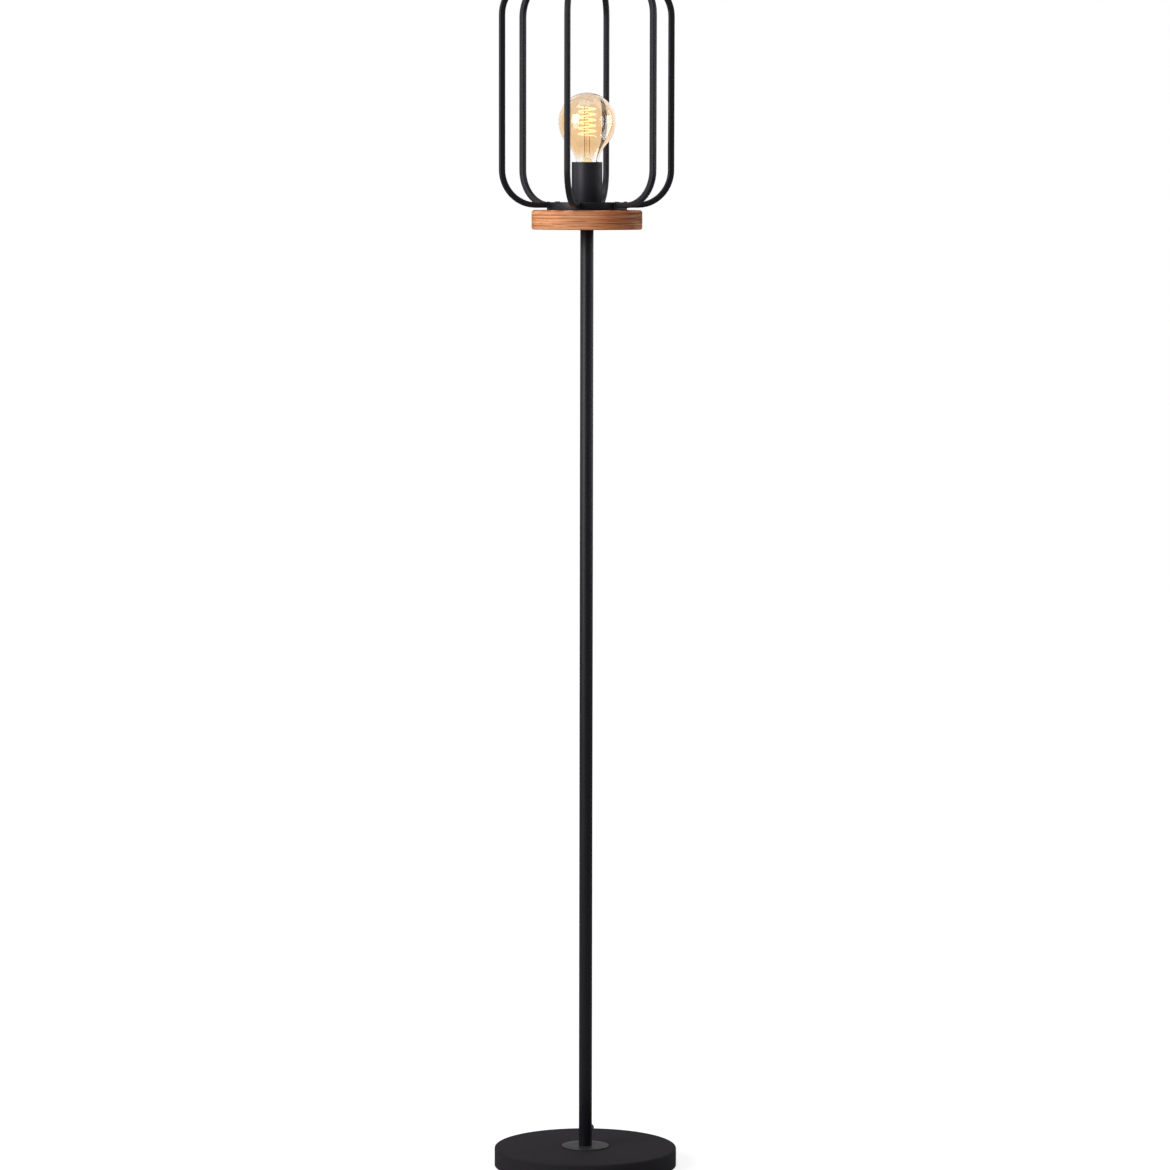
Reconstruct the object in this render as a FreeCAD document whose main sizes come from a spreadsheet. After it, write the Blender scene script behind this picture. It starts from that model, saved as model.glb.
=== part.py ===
import FreeCAD, Part
import math
import os

import Sketcher
from FreeCAD import Placement, Rotation, Vector

# Wire cage floor lamp, in millimetres. +Z is up, and the origin is on the floor under the pole.
# A round weighted foot carries a slim pole, a wooden disc, and on that a pan with six bent
# square bars that meet in a star above the bulb.

os.makedirs("parts", exist_ok=True)
doc = FreeCAD.newDocument("CageFloorLamp")

# Driving sizes: each one is written once, here.
DRIVING_SIZES = (
    # foot
    ("base_diameter", 200.0),
    ("base_height", 21.0),
    ("cover_wall", 1.2),
    ("cover_rim_radius", 2.0),
    ("floor_gap", 1.0),
    ("weight_thickness", 14.0),
    ("nut_recess_diameter", 40.0),
    ("nut_recess_depth", 8.0),
    ("underplate_thickness", 1.2),
    ("foot_pad_diameter", 14.0),
    ("foot_pad_inset", 16.0),
    ("foot_pad_count", 5),
    # pole, its foot disc and the gland behind it
    ("flange_diameter", 52.0),
    ("flange_thickness", 1.4),
    ("flange_edge", 0.4),
    ("pole_diameter", 14.4),
    ("pole_wall", 1.0),
    ("pole_length", 1006.0),
    ("bush_length", 12.0),
    ("gland_rise", 18.0),
    ("gland_turn", 70.0),
    ("gland_diameter", 9.6),
    ("gland_reach", 12.0),
    ("gland_nose_length", 5.0),
    ("gland_nose_taper", 1.0),
    ("gland_stem_diameter", 6.4),
    ("gland_bore", 5.4),
    ("lead_diameter", 4.6),
    ("lead_offset", 1.2),
    # threaded tube, nuts and washers
    ("thread_diameter", 10.0),
    ("thread_bore", 7.6),
    ("thread_engagement", 10.0),
    ("thread_overhang", 1.2),
    ("nut_width", 14.0),
    ("nut_face_diameter", 13.6),
    ("nut_height", 3.5),
    ("nut_chamfer", 0.8),
    ("washer_diameter", 30.0),
    ("washer_thickness", 1.5),
    ("lock_washer_diameter", 17.0),
    ("lock_washer_thickness", 1.0),
    ("lock_washer_teeth", 10),
    ("lock_slot_width", 1.2),
    ("lock_slot_depth", 1.6),
    # wooden disc
    ("disc_diameter", 120.0),
    ("disc_thickness", 21.0),
    ("disc_top_round", 2.8),
    ("disc_bottom_round", 2.0),
    # cage
    ("pan_diameter", 87.0),
    ("pan_height", 8.4),
    ("pan_wall", 1.5),
    ("pan_edge", 0.8),
    ("bar_size", 6.0),
    ("bar_chamfer", 0.6),
    ("bar_count", 6),
    ("bar_first_turn", 17.3),
    ("bend_radius", 38.0),
    ("cage_diameter", 197.6),
    ("cage_height", 248.0),
    # lampholder
    ("sleeve_height", 43.4),
    ("sleeve_wall", 0.8),
    ("sleeve_floor", 1.0),
    ("sleeve_rim_edge", 0.3),
    ("holder_base_height", 4.0),
    ("holder_wall", 1.5),
    ("holder_rim_drop", 0.8),
    ("shell_wall", 0.4),
    ("shell_start", 4.0),
    ("contact_width", 6.0),
    ("contact_span", 15.0),
    ("contact_foot", 2.5),
    ("contact_slope", 2.0),
    ("contact_strip", 0.5),
    ("terminal_screw_diameter", 3.0),
    ("terminal_head_diameter", 5.0),
    ("terminal_head_height", 1.8),
    ("terminal_inset", 4.4),
    # bulb
    ("bulb_seat", 12.5),
    ("cap_diameter", 26.2),
    ("cap_wall", 1.6),
    ("cap_start", 5.0),
    ("cap_top", 26.2),
    ("cap_thread_pitch", 3.63),
    ("cap_thread_depth", 0.8),
    ("cap_thread_width", 3.2),
    ("cap_thread_turns", 4),
    ("insulator_foot_diameter", 10.0),
    ("insulator_start", 1.6),
    ("insulator_shoulder", 5.6),
    ("insulator_top", 8.0),
    ("tip_diameter", 9.0),
    ("tip_round", 1.0),
    ("globe_radius", 31.0),
    ("shoulder_radius", 36.0),
    ("neck_inset", 0.8),
    ("neck_curve_radius", 33.6),
    ("neck_straight", 1.0),
    ("glass_wall", 0.9),
    ("stem_flare_height", 9.0),
    ("stem_throat_radius", 4.0),
    ("stem_press_height", 14.6),
    ("stem_press_radius", 3.2),
    ("stem_rod_radius", 1.2),
    ("filament_radius", 9.2),
    ("filament_height", 33.0),
    ("filament_turns", 5.5),
    ("filament_wire", 1.6),
    ("support_wire", 0.7),
    ("support_offset", 2.6),
    # clearances
    ("thread_clearance", 0.05),
    ("loose_clearance", 0.3),
    ("hole_clearance", 0.2),
    ("cap_clearance", 0.55),
)

# Heights above the floor and sizes that follow from the driving ones.
LEVELS = (
    ("weight_top", "Sizes.base_height - Sizes.cover_wall"),
    ("weight_bottom", "weight_top - Sizes.weight_thickness"),
    ("pad_top", "weight_bottom - Sizes.underplate_thickness"),
    ("inner_diameter", "Sizes.base_diameter - 2 * Sizes.cover_wall - 2 * Sizes.loose_clearance"),
    ("foot_pad_circle", "Sizes.base_diameter - 2 * Sizes.foot_pad_inset"),
    ("recess_top", "weight_bottom + Sizes.nut_recess_depth"),
    ("foot_washer_bottom", "recess_top - Sizes.washer_thickness"),
    ("foot_lock_bottom", "foot_washer_bottom - Sizes.lock_washer_thickness"),
    ("foot_nut_bottom", "foot_lock_bottom - Sizes.nut_height"),
    ("foot_nipple_bottom", "foot_nut_bottom - Sizes.thread_overhang"),
    ("pole_bottom", "Sizes.base_height + Sizes.flange_thickness"),
    ("pole_top", "pole_bottom + Sizes.pole_length"),
    ("pole_bore", "Sizes.pole_diameter - 2 * Sizes.pole_wall"),
    ("gland_level", "Sizes.base_height + Sizes.gland_rise"),
    ("gland_mouth", "pole_bore / 2 - Sizes.pole_wall"),
    ("disc_top", "pole_top + Sizes.disc_thickness"),
    ("pan_top", "disc_top + Sizes.pan_height"),
    ("bar_bottom", "pan_top - Sizes.bar_size"),
    ("cage_radius", "(Sizes.cage_diameter - Sizes.bar_size) / 2"),
    ("head_lock_bottom", "pan_top + Sizes.sleeve_floor"),
    ("head_nut_bottom", "head_lock_bottom + Sizes.lock_washer_thickness"),
    ("holder_bottom", "head_nut_bottom + Sizes.nut_height + Sizes.hole_clearance"),
    ("holder_floor", "holder_bottom + Sizes.holder_base_height"),
    ("sleeve_top", "pan_top + Sizes.sleeve_height"),
    ("holder_top", "sleeve_top - Sizes.holder_rim_drop"),
    ("shell_diameter", "Sizes.cap_diameter + 2 * Sizes.cap_clearance + 2 * Sizes.shell_wall"),
    ("holder_bore", "shell_diameter + 2 * Sizes.thread_clearance"),
    ("holder_diameter", "holder_bore + 2 * Sizes.holder_wall"),
    ("sleeve_diameter", "holder_diameter + 2 * Sizes.sleeve_wall + 2 * Sizes.hole_clearance"),
    ("terminal_circle", "holder_diameter - 2 * Sizes.terminal_inset"),
    ("bulb_tip_level", "pan_top + Sizes.bulb_seat"),
    ("cap_bore", "Sizes.cap_diameter - 2 * Sizes.cap_wall"),
    ("shoulder_offset", "Sizes.globe_radius - Sizes.shoulder_radius"),
    ("neck_radius", "Sizes.cap_diameter / 2 - Sizes.neck_inset"),
    ("neck_centre", "neck_radius + Sizes.neck_curve_radius"),
    ("tangent_reach", "Sizes.shoulder_radius + Sizes.neck_curve_radius"),
    ("neck_drop", "sqrt(tangent_reach ^ 2 - (neck_centre - shoulder_offset) ^ 2)"),
    ("neck_top", "Sizes.cap_top + Sizes.neck_straight"),
    ("globe_centre", "neck_top + neck_drop"),
    ("filament_bottom", "globe_centre - Sizes.filament_height / 2"),
    ("filament_top", "globe_centre + Sizes.filament_height / 2"),
)

sizes = doc.addObject("Spreadsheet::Sheet", "Sizes")
for row, (alias, number) in enumerate(DRIVING_SIZES, start=1):
    sizes.set(f"A{row}", alias)
    sizes.set(f"B{row}", str(number))
    sizes.setAlias(f"B{row}", alias)
doc.recompute()

levels = doc.addObject("Spreadsheet::Sheet", "Levels")
for row, (alias, formula) in enumerate(LEVELS, start=1):
    levels.set(f"A{row}", alias)
    levels.setAlias(f"B{row}", alias)
    levels.set(f"B{row}", "=" + formula)
doc.recompute()

pieces = {}      # node name -> the object whose shape is that piece
cuts = []        # (cutting feature, the feature it cuts), compared by volume at the end
UP = Vector(0, 0, 1)
SAME = 0.01      # two measures closer than this count as equal


def value(expression):
    # the number that an expression of the two sheets gives
    return float(levels.evalExpression(expression))


# sketches and features

def new_body(name, level="0", turn=0.0):
    body = doc.addObject("PartDesign::Body", name)
    body.Label = name
    body.Placement = Placement(Vector(0, 0, value(level)), Rotation(UP, turn))
    if level != "0":
        body.setExpression("Placement.Base.z", level)
    pieces[name] = body
    return body


def new_sketch(body, role, name, offset=None):
    sketch = body.newObject("Sketcher::SketchObject", name)
    plane = next(item for item in body.Origin.OriginFeatures if item.Role == role)
    sketch.AttachmentSupport = (plane, [""])
    sketch.MapMode = "FlatFace"
    if offset:
        sketch.setExpression("AttachmentOffset.Base.z", offset)
    return sketch


def bind(sketch, expression, kind, *where):
    # a sketch dimension whose size is an expression of the sheets
    index = sketch.addConstraint(Sketcher.Constraint(kind, *where, value(expression)))
    sketch.setExpression(f"Constraints[{index}]", expression)


def place_point(sketch, curve, end, across, up):
    if across == "0":
        sketch.addConstraint(Sketcher.Constraint("PointOnObject", curve, end, -2))
    else:
        bind(sketch, across, "DistanceX", -1, 1, curve, end)
    if up == "0":
        sketch.addConstraint(Sketcher.Constraint("PointOnObject", curve, end, -1))
    else:
        bind(sketch, up, "DistanceY", -1, 1, curve, end)


def draw_outline(sketch, corners):
    points = [Vector(value(across), value(up), 0) for across, up in corners]
    count = len(points)
    for index, point in enumerate(points):
        sketch.addGeometry(Part.LineSegment(point, points[(index + 1) % count]))
    for index, (across, up) in enumerate(corners):
        sketch.addConstraint(Sketcher.Constraint("Coincident", index, 2, (index + 1) % count, 1))
        place_point(sketch, index, 1, across, up)


def draw_circle(sketch, diameter, across="0", up="0"):
    centre = Vector(value(across), value(up), 0)
    curve = sketch.addGeometry(Part.Circle(centre, UP, value(diameter) / 2))
    bind(sketch, diameter, "Diameter", curve)
    place_point(sketch, curve, 3, across, up)


def pad(body, sketch, length, name="Pad"):
    feature = body.newObject("PartDesign::Pad", name)
    feature.Profile = sketch
    feature.setExpression("Length", length)
    doc.recompute()
    return feature


def pocket(body, sketch, length, upward=False, name="Pocket"):
    base = body.Tip
    feature = body.newObject("PartDesign::Pocket", name)
    feature.Profile = sketch
    feature.Reversed = upward
    feature.setExpression("Length", length)
    doc.recompute()
    cuts.append((feature, base))
    return feature


def revolve(body, sketch, name="Revolution"):
    feature = body.newObject("PartDesign::Revolution", name)
    feature.Profile = sketch
    feature.ReferenceAxis = (sketch, ["V_Axis"])
    feature.Angle = 360
    doc.recompute()
    return feature


def soften(body, kind, size, radius, height):
    # fillet or chamfer of the circular edge of that radius at that height in the body
    feature = body.newObject("PartDesign::" + kind, kind)
    base = feature.BaseFeature if feature.BaseFeature else body.Tip
    names = []
    for index, edge in enumerate(base.Shape.Edges, start=1):
        if not isinstance(edge.Curve, Part.Circle):
            continue
        centre = edge.Curve.Center
        if abs(edge.Curve.Radius - value(radius)) < SAME and abs(centre.z - value(height)) < SAME:
            names.append(f"Edge{index}")
    feature.Base = (base, names)
    feature.setExpression("Radius" if kind == "Fillet" else "Size", size)
    doc.recompute()
    return feature


def ring(name, level, diameter, bore, height):
    # a flat ring, washer or tube
    body = new_body(name, level)
    sketch = new_sketch(body, "XY_Plane", "Ring")
    draw_circle(sketch, diameter)
    draw_circle(sketch, bore)
    pad(body, sketch, height)
    return body


def turned(name, level, corners, turn=0.0):
    # a turned piece: an outline of (radius, height) corners about the Z axis
    body = new_body(name, level, turn)
    sketch = new_sketch(body, "XZ_Plane", "Section")
    draw_outline(sketch, corners)
    revolve(body, sketch)
    return body


def primitive(kind, name, at=Vector(), rotation=Rotation(), **bindings):
    solid = doc.addObject("Part::" + kind, name)
    solid.Placement = Placement(at, rotation)
    for size, expression in bindings.items():
        solid.setExpression(size, expression)
    return solid


def boolean(kind, name, base, tool):
    solid = doc.addObject("Part::" + kind, name)
    solid.Label = name
    solid.Base = base
    solid.Tool = tool
    return solid


# foot

def build_base_cover():
    # pressed shell: a flat top and a straight skirt that stops just above the floor
    body = new_body("base_cover", "Sizes.floor_gap")
    height = "Sizes.base_height - Sizes.floor_gap"
    disc = new_sketch(body, "XY_Plane", "Disc")
    draw_circle(disc, "Sizes.base_diameter")
    draw_circle(disc, "Sizes.thread_diameter + 2 * Sizes.hole_clearance")
    pad(body, disc, height)
    hollow = new_sketch(body, "XY_Plane", "Hollow")
    draw_circle(hollow, "Sizes.base_diameter - 2 * Sizes.cover_wall")
    pocket(body, hollow, f"{height} - Sizes.cover_wall", upward=True)
    soften(body, "Fillet", "Sizes.cover_rim_radius", "Sizes.base_diameter / 2", height)
    soften(body, "Chamfer", "Sizes.loose_clearance", "Sizes.base_diameter / 2 - Sizes.cover_wall",
           f"{height} - Sizes.cover_wall")


def build_base_weight():
    # iron disc that fills the cover, with a recess underneath for the nut and washers
    body = ring("base_weight", "Levels.weight_bottom", "Levels.inner_diameter",
                "Sizes.thread_diameter + 2 * Sizes.hole_clearance", "Sizes.weight_thickness")
    recess = new_sketch(body, "XY_Plane", "Recess")
    draw_circle(recess, "Sizes.nut_recess_diameter")
    pocket(body, recess, "Sizes.nut_recess_depth", upward=True)
    soften(body, "Chamfer", "Sizes.cover_rim_radius", "Levels.inner_diameter / 2",
           "Sizes.weight_thickness")


def build_foot_pads():
    # stick-on rubber pads in a circle; their tops meet the underplate
    group = []
    count = int(value("Sizes.foot_pad_count"))
    reach = value("Levels.foot_pad_circle / 2")
    for index in range(count):
        angle = 2 * math.pi * index / count
        at = Vector(reach * math.cos(angle), reach * math.sin(angle), 0)
        group.append(primitive("Cylinder", f"FootPad{index + 1}", at,
                               Radius="Sizes.foot_pad_diameter / 2", Height="Levels.pad_top"))
    pads = doc.addObject("Part::Compound", "foot_pads")
    pads.Label = "foot_pads"
    pads.Links = group
    pieces["foot_pads"] = pads


# threaded tubes and nuts

def build_nut(name, level):
    # hexagon nut with its corners turned off on the outer face
    body = new_body(name, level)
    hexagon = new_sketch(body, "XY_Plane", "Hexagon")
    corner_radius = "Sizes.nut_width / sqrt(3)"
    radius = value(corner_radius)
    corners = [Vector(radius * math.cos(math.pi * k / 3), radius * math.sin(math.pi * k / 3), 0)
               for k in range(6)]
    for index, corner in enumerate(corners):
        hexagon.addGeometry(Part.LineSegment(corner, corners[(index + 1) % 6]))
    guide = hexagon.addGeometry(Part.Circle(Vector(), UP, radius), True)
    for index in range(6):
        hexagon.addConstraint(Sketcher.Constraint("Coincident", index, 2, (index + 1) % 6, 1))
        hexagon.addConstraint(Sketcher.Constraint("PointOnObject", index, 1, guide))
        if index:
            hexagon.addConstraint(Sketcher.Constraint("Equal", 0, index))
    hexagon.addConstraint(Sketcher.Constraint("Coincident", guide, 3, -1, 1))
    hexagon.addConstraint(Sketcher.Constraint("PointOnObject", 0, 1, -1))
    bind(hexagon, corner_radius, "Radius", guide)
    draw_circle(hexagon, "Sizes.thread_diameter + 2 * Sizes.thread_clearance")
    pad(body, hexagon, "Sizes.nut_height")
    corner_cut = new_sketch(body, "XZ_Plane", "CornerCut")
    outside = f"{corner_radius} + Sizes.loose_clearance"
    draw_outline(corner_cut, [("Sizes.nut_face_diameter / 2", "0"), (outside, "0"),
                              (outside, "Sizes.nut_chamfer")])
    base = body.Tip
    groove = body.newObject("PartDesign::Groove", "Corners")
    groove.Profile = corner_cut
    groove.ReferenceAxis = (corner_cut, ["V_Axis"])
    groove.Angle = 360
    doc.recompute()
    cuts.append((groove, base))


def build_lock_washer(name, level):
    # internally toothed lock washer: slots cut round the bore
    body = ring(name, level, "Sizes.lock_washer_diameter",
                "Sizes.thread_diameter + 2 * Sizes.thread_clearance", "Sizes.lock_washer_thickness")
    slot = new_sketch(body, "XY_Plane", "Slot")
    inner = "Sizes.thread_bore / 2"
    outer = "Sizes.thread_diameter / 2 + Sizes.lock_slot_depth"
    half = "Sizes.lock_slot_width / 2"
    draw_outline(slot, [(inner, f"-{half}"), (outer, f"-{half}"), (outer, half), (inner, half)])
    first = pocket(body, slot, "Sizes.lock_washer_thickness", upward=True, name="Slot")
    pattern = body.newObject("PartDesign::PolarPattern", "Teeth")
    pattern.Originals = [first]
    pattern.Axis = (slot, ["N_Axis"])
    pattern.Angle = 360
    pattern.setExpression("Occurrences", "Sizes.lock_washer_teeth")
    body.Tip = pattern
    doc.recompute()
    cuts.append((pattern, first))


# pole and gland

def build_pole():
    # one tube, with a side hole for the gland low down at the back
    body = new_body("pole", "Levels.pole_bottom", value("Sizes.gland_turn") - 90)
    section = new_sketch(body, "XY_Plane", "Section")
    draw_circle(section, "Sizes.pole_diameter")
    draw_circle(section, "Levels.pole_bore")
    pad(body, section, "Sizes.pole_length")
    hole = new_sketch(body, "XZ_Plane", "GlandHole")
    draw_circle(hole, "Sizes.gland_stem_diameter + 2 * Sizes.thread_clearance",
                "0", "Levels.gland_level - Levels.pole_bottom")
    pocket(body, hole, "Sizes.pole_diameter", name="GlandHole")


def build_gland():
    # cord gland: its saddle sits on the pole, its stem goes through the wall
    turn = Rotation(UP, value("Sizes.gland_turn"))
    outward = turn * Rotation(Vector(0, 1, 0), 90)
    level = value("Levels.gland_level")

    def along(distance):
        return turn.multVec(Vector(distance, 0, 0)) + Vector(0, 0, level)

    pole_radius = value("Sizes.pole_diameter / 2")
    seat = value("Levels.gland_mouth")
    nose = value("Sizes.pole_diameter / 2 + Sizes.gland_reach - Sizes.gland_nose_length")
    half_width = value("Sizes.gland_diameter / 2")
    saddle_start = math.sqrt(pole_radius ** 2 - half_width ** 2) - value("Sizes.loose_clearance")
    head = primitive("Cylinder", "GlandHead", along(saddle_start), outward,
                     Radius="Sizes.gland_diameter / 2")
    head.Height = nose - saddle_start
    saddle = primitive("Cylinder", "GlandSaddle", Vector(0, 0, level - 2 * half_width),
                       Radius="Sizes.pole_diameter / 2 + Sizes.thread_clearance",
                       Height="2 * Sizes.gland_diameter")
    tip = primitive("Cone", "GlandNose", along(nose), outward, Radius1="Sizes.gland_diameter / 2",
                    Radius2="Sizes.gland_diameter / 2 - Sizes.gland_nose_taper",
                    Height="Sizes.gland_nose_length")
    stem = primitive("Cylinder", "GlandStem", along(seat), outward,
                     Radius="Sizes.gland_stem_diameter / 2")
    stem.Height = nose - seat
    bore = primitive("Cylinder", "GlandBore", along(0), outward, Radius="Sizes.gland_bore / 2",
                     Height="Sizes.pole_diameter + Sizes.gland_reach")
    seated = boolean("Cut", "GlandSeated", head, saddle)
    nosed = boolean("Fuse", "GlandNosed", seated, tip)
    stemmed = boolean("Fuse", "GlandStemmed", nosed, stem)
    pieces["cable_gland"] = boolean("Cut", "cable_gland", stemmed, bore)
    doc.recompute()


def build_inner_lead():
    # the lead inside the pole: down from the lampholder and round into the gland's inner mouth
    body = new_body("inner_lead", "Levels.gland_level", value("Sizes.gland_turn"))
    path = new_sketch(body, "XZ_Plane", "Route")
    start = value("Sizes.lead_offset")
    end = value("Levels.gland_mouth - Sizes.loose_clearance")
    turn_radius = start + end
    top = value("Levels.holder_bottom - Levels.gland_level")
    path.addGeometry(Part.ArcOfCircle(Part.Circle(Vector(end, turn_radius, 0), UP, turn_radius),
                                      math.pi, 1.5 * math.pi))
    path.addGeometry(Part.LineSegment(Vector(-start, turn_radius, 0), Vector(-start, top, 0)))
    path.addConstraint(Sketcher.Constraint("Tangent", 0, 1, 1, 1))
    path.addConstraint(Sketcher.Constraint("Vertical", 1))
    path.addConstraint(Sketcher.Constraint("PointOnObject", 0, 2, -1))
    bind(path, "Levels.gland_mouth - Sizes.loose_clearance", "DistanceX", -1, 1, 0, 2)
    bind(path, "Levels.gland_mouth - Sizes.loose_clearance", "DistanceX", -1, 1, 0, 3)
    bind(path, "Levels.gland_mouth - Sizes.loose_clearance + Sizes.lead_offset", "Radius", 0)
    bind(path, "Levels.holder_bottom - Levels.gland_level", "DistanceY", -1, 1, 1, 2)
    section = new_sketch(body, "YZ_Plane", "Section", "Levels.gland_mouth - Sizes.loose_clearance")
    draw_circle(section, "Sizes.lead_diameter")
    sweep(body, section, path, 2)


def sweep(body, section, path, edge_count):
    feature = body.newObject("PartDesign::AdditivePipe", "Sweep")
    feature.Profile = (section, [""])
    feature.Spine = (path, [f"Edge{index + 1}" for index in range(edge_count)])
    doc.recompute()
    return feature


# wooden disc and cage

def build_wood_disc():
    body = new_body("wood_disc", "Levels.pole_top")
    face = new_sketch(body, "XY_Plane", "Face")
    draw_circle(face, "Sizes.disc_diameter")
    pad(body, face, "Sizes.disc_thickness")
    centre = new_sketch(body, "XY_Plane", "Centre", "Sizes.disc_thickness")
    draw_circle(centre, "Sizes.thread_diameter + 2 * Sizes.hole_clearance")
    pocket(body, centre, "Sizes.disc_thickness", name="Bore")
    soften(body, "Fillet", "Sizes.disc_top_round", "Sizes.disc_diameter / 2", "Sizes.disc_thickness")
    soften(body, "Fillet", "Sizes.disc_bottom_round", "Sizes.disc_diameter / 2", "0")


def build_cage_pan():
    # inverted pan that the bars are welded to
    body = new_body("cage_pan", "Levels.disc_top")
    face = new_sketch(body, "XY_Plane", "Face")
    draw_circle(face, "Sizes.pan_diameter")
    draw_circle(face, "Sizes.thread_diameter + 2 * Sizes.hole_clearance")
    pad(body, face, "Sizes.pan_height")
    hollow = new_sketch(body, "XY_Plane", "Hollow")
    draw_circle(hollow, "Sizes.pan_diameter - 2 * Sizes.pan_wall")
    pocket(body, hollow, "Sizes.pan_height - Sizes.pan_wall", upward=True)
    soften(body, "Chamfer", "Sizes.pan_edge", "Sizes.pan_diameter / 2", "Sizes.pan_height")


def draw_bar_section(sketch):
    # square with small flats on its corners, standing on the sketch's H axis
    side = "Sizes.bar_size"
    chamfer = "Sizes.bar_chamfer"
    half = "Sizes.bar_size / 2"
    flat = "(Sizes.bar_size / 2 - Sizes.bar_chamfer)"
    draw_outline(sketch, [(half, chamfer), (half, f"{side} - {chamfer}"), (flat, side),
                          (f"-{flat}", side), (f"-{half}", f"{side} - {chamfer}"),
                          (f"-{half}", chamfer), (f"-{flat}", "0"), (flat, "0")])


def build_bar(name, turn):
    # one bent bar: out from the pan, up, and in again to the mitred star on the axis
    body = new_body(name, "Levels.bar_bottom", turn)
    low = "Sizes.bar_size / 2"
    high = "Sizes.cage_height - Sizes.bar_size / 2"
    start = "Sizes.pan_diameter / 2"
    reach = value("Levels.cage_radius")
    radius = value("Sizes.bend_radius")
    bottom = value(low)
    top = value(high)
    inside = reach - radius
    path = new_sketch(body, "XZ_Plane", "Route")
    path.addGeometry(Part.LineSegment(Vector(value(start), bottom, 0), Vector(inside, bottom, 0)))
    path.addGeometry(Part.ArcOfCircle(Part.Circle(Vector(inside, bottom + radius, 0), UP, radius),
                                      -math.pi / 2, 0))
    path.addGeometry(Part.LineSegment(Vector(reach, bottom + radius, 0),
                                      Vector(reach, top - radius, 0)))
    path.addGeometry(Part.ArcOfCircle(Part.Circle(Vector(inside, top - radius, 0), UP, radius),
                                      0, math.pi / 2))
    path.addGeometry(Part.LineSegment(Vector(inside, top, 0), Vector(0, top, 0)))
    for curve in range(4):
        path.addConstraint(Sketcher.Constraint("Tangent", curve, 2, curve + 1, 1))
    path.addConstraint(Sketcher.Constraint("Horizontal", 0))
    path.addConstraint(Sketcher.Constraint("Vertical", 2))
    path.addConstraint(Sketcher.Constraint("Horizontal", 4))
    path.addConstraint(Sketcher.Constraint("Equal", 1, 3))
    bind(path, "Sizes.bend_radius", "Radius", 1)
    place_point(path, 0, 1, start, low)
    bind(path, "Levels.cage_radius", "DistanceX", -1, 1, 2, 1)
    place_point(path, 4, 2, "0", high)
    section = new_sketch(body, "YZ_Plane", "Section", start)
    draw_bar_section(section)
    sweep(body, section, path, 5)
    mitre = new_sketch(body, "XY_Plane", "Mitre", "Sizes.cage_height + Sizes.loose_clearance")
    wide = "Sizes.bar_size"
    along = "Sizes.bar_size / tan(180 deg / Sizes.bar_count)"
    past = "-Sizes.loose_clearance"
    draw_outline(mitre, [("0", "0"), (along, wide), (past, wide), (past, f"-{wide}"),
                         (along, f"-{wide}")])
    pocket(body, mitre, "2 * Sizes.bar_size", name="Mitre")


# lampholder

def build_sleeve():
    # turned cup that hides the lampholder
    outer = "Levels.sleeve_diameter / 2"
    inner = "Levels.sleeve_diameter / 2 - Sizes.sleeve_wall"
    hole = "Sizes.thread_diameter / 2 + Sizes.hole_clearance"
    body = turned("socket_sleeve", "Levels.pan_top",
                  [(hole, "0"), (outer, "0"), (outer, "Sizes.sleeve_height"),
                   (inner, "Sizes.sleeve_height"), (inner, "Sizes.sleeve_floor"),
                   (hole, "Sizes.sleeve_floor")])
    soften(body, "Chamfer", "Sizes.sleeve_rim_edge", outer, "Sizes.sleeve_height")


def build_socket_base():
    # moulded floor of the lampholder, screwed on to the threaded tube
    body = ring("socket_base", "Levels.holder_bottom", "Levels.holder_diameter",
                "Sizes.thread_diameter + 2 * Sizes.thread_clearance", "Sizes.holder_base_height")
    holes = new_sketch(body, "XY_Plane", "ScrewHoles")
    for side in ("Levels.terminal_circle / 2", "-Levels.terminal_circle / 2"):
        draw_circle(holes, "Sizes.terminal_screw_diameter + 2 * Sizes.thread_clearance", side)
    pocket(body, holes, "Sizes.holder_base_height", upward=True, name="ScrewHoles")


def build_centre_contact():
    # springy bridge under the bulb's tip: two feet, and a raised middle
    body = new_body("centre_contact", "Levels.holder_floor")
    side = new_sketch(body, "XZ_Plane", "Side")
    strip = "Sizes.contact_strip"
    rise = "Levels.bulb_tip_level - Levels.holder_floor - Sizes.thread_clearance"
    end = "Sizes.contact_span / 2"
    knee = f"{end} - Sizes.contact_foot"
    top = f"{knee} - Sizes.contact_slope"
    draw_outline(side, [(f"-({end})", "0"), (f"-({knee})", "0"), (f"-({top})", f"{rise} - {strip}"),
                        (top, f"{rise} - {strip}"), (knee, "0"), (end, "0"), (end, strip),
                        (f"{knee} + {strip}", strip), (f"{top} + {strip}", rise),
                        (f"-({top} + {strip})", rise), (f"-({knee} + {strip})", strip),
                        (f"-({end})", strip)])
    feature = pad(body, side, "Sizes.contact_width")
    feature.Midplane = True
    doc.recompute()


def build_terminal_screws():
    group = []
    for index, side in enumerate((1, -1), start=1):
        across = side * value("Levels.terminal_circle / 2")
        level = value("Levels.holder_bottom")
        head_height = value("Sizes.terminal_head_height")
        head = primitive("Cylinder", f"ScrewHead{index}", Vector(across, 0, level - head_height),
                         Radius="Sizes.terminal_head_diameter / 2",
                         Height="Sizes.terminal_head_height")
        shank = primitive("Cylinder", f"ScrewShank{index}", Vector(across, 0, level),
                          Radius="Sizes.terminal_screw_diameter / 2",
                          Height="Sizes.holder_base_height")
        group.append(boolean("Fuse", f"Screw{index}", head, shank))
    screws = doc.addObject("Part::Compound", "terminal_screws")
    screws.Label = "terminal_screws"
    screws.Links = group
    pieces["terminal_screws"] = screws


# bulb

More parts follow.
